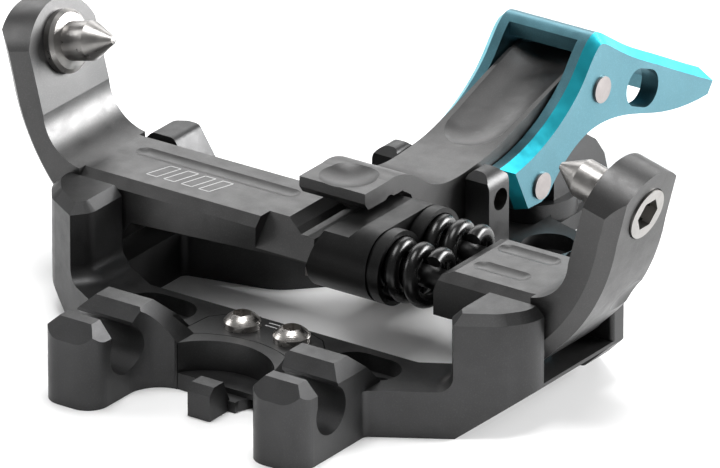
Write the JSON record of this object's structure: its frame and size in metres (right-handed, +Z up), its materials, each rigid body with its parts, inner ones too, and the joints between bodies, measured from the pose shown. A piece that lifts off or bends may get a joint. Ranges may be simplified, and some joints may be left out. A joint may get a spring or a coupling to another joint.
{
  "type": "touring binding toe piece",
  "caption": "Toe piece of a ski-touring pin binding: base with crampon channels, two sprung wings with toe pins, a rocker and a front lock lever.",
  "frame": {"origin": "midpoint of the rear pair of mounting holes, on the flat underside that lies on the ski", "axes": "+X to the skier's right, +Y towards the ski tip and the lever, +Z up from the ski"},
  "size_m": [0.1036, 0.1177, 0.0385],
  "materials": {
    "base_metal": "bead-blasted, dark grey anodised",
    "wing_metal": "bead-blasted, dark grey anodised",
    "box_metal": "black anodised, satin",
    "lever_metal": "blue-green anodised with bright bevels",
    "pin_steel": "turned and ground",
    "spring_steel": "dark oiled spring wire",
    "bush_polymer": "plain bearing polymer"
  },
  "bodies": {
    "base": {"base_plate": "base_metal", "bridge_cover": "base_metal", "bridge_screws": "pin_steel", "crampon_stop": "base_metal", "left_hinge_pin": "pin_steel", "right_hinge_pin": "pin_steel", "rocker_pivot_pin": "pin_steel"},
    "left_wing": {"left_wing_arm": "wing_metal", "left_wing_bushes": "bush_polymer", "left_toe_pin": "pin_steel"},
    "right_wing": {"right_wing_arm": "wing_metal", "right_wing_bushes": "bush_polymer", "right_toe_pin": "pin_steel", "rear_spring_guide": "pin_steel", "front_spring_guide": "pin_steel", "rear_spring": "spring_steel", "front_spring": "spring_steel"},
    "spring_carriage": {"spring_box": "box_metal"},
    "rocker": {"rocker_arm": "wing_metal", "rocker_bushes": "bush_polymer", "wing_lifter": "pin_steel"},
    "lever": {"lever_fork": "lever_metal", "upper_rivet": "pin_steel", "lower_rivet": "pin_steel"}
  },
  "joints": [
    {"name": "left_wing_hinge", "type": "hinge", "parent": "base", "child": "left_wing", "pos_m": [-0.0345, 0.01738, 0.0115], "axis": [0, 1, 0], "range_deg": [0, 15]},
    {"name": "right_wing_hinge", "type": "hinge", "parent": "base", "child": "right_wing", "pos_m": [0.0345, 0.01738, 0.0115], "axis": [0, -1, 0], "range_deg": [0, 15]},
    {"name": "spring_box_slide", "type": "slide", "parent": "right_wing", "child": "spring_carriage", "axis": [-1, 0, 0], "range_m": [0, 0.0006], "deforming": ["rear_spring", "front_spring"]},
    {"name": "rocker_pivot", "type": "hinge", "parent": "base", "child": "rocker", "pos_m": [0, 0.0425, 0.0139], "axis": [1, 0, 0], "range_deg": [0, 18]},
    {"name": "lever_pivot", "type": "hinge", "parent": "rocker", "child": "lever", "pos_m": [0, 0.06865, 0.0205], "axis": [1, 0, 0], "range_deg": [0, 18]}
  ],
  "couplings": [
    {"joint": "right_wing_hinge", "follows": "left_wing_hinge", "ratio": 1},
    {"joint": "rocker_pivot", "follows": "left_wing_hinge", "ratio": 1.2},
    {"joint": "spring_box_slide", "follows": "left_wing_hinge", "m_per_rad": 0.0022917}
  ]
}
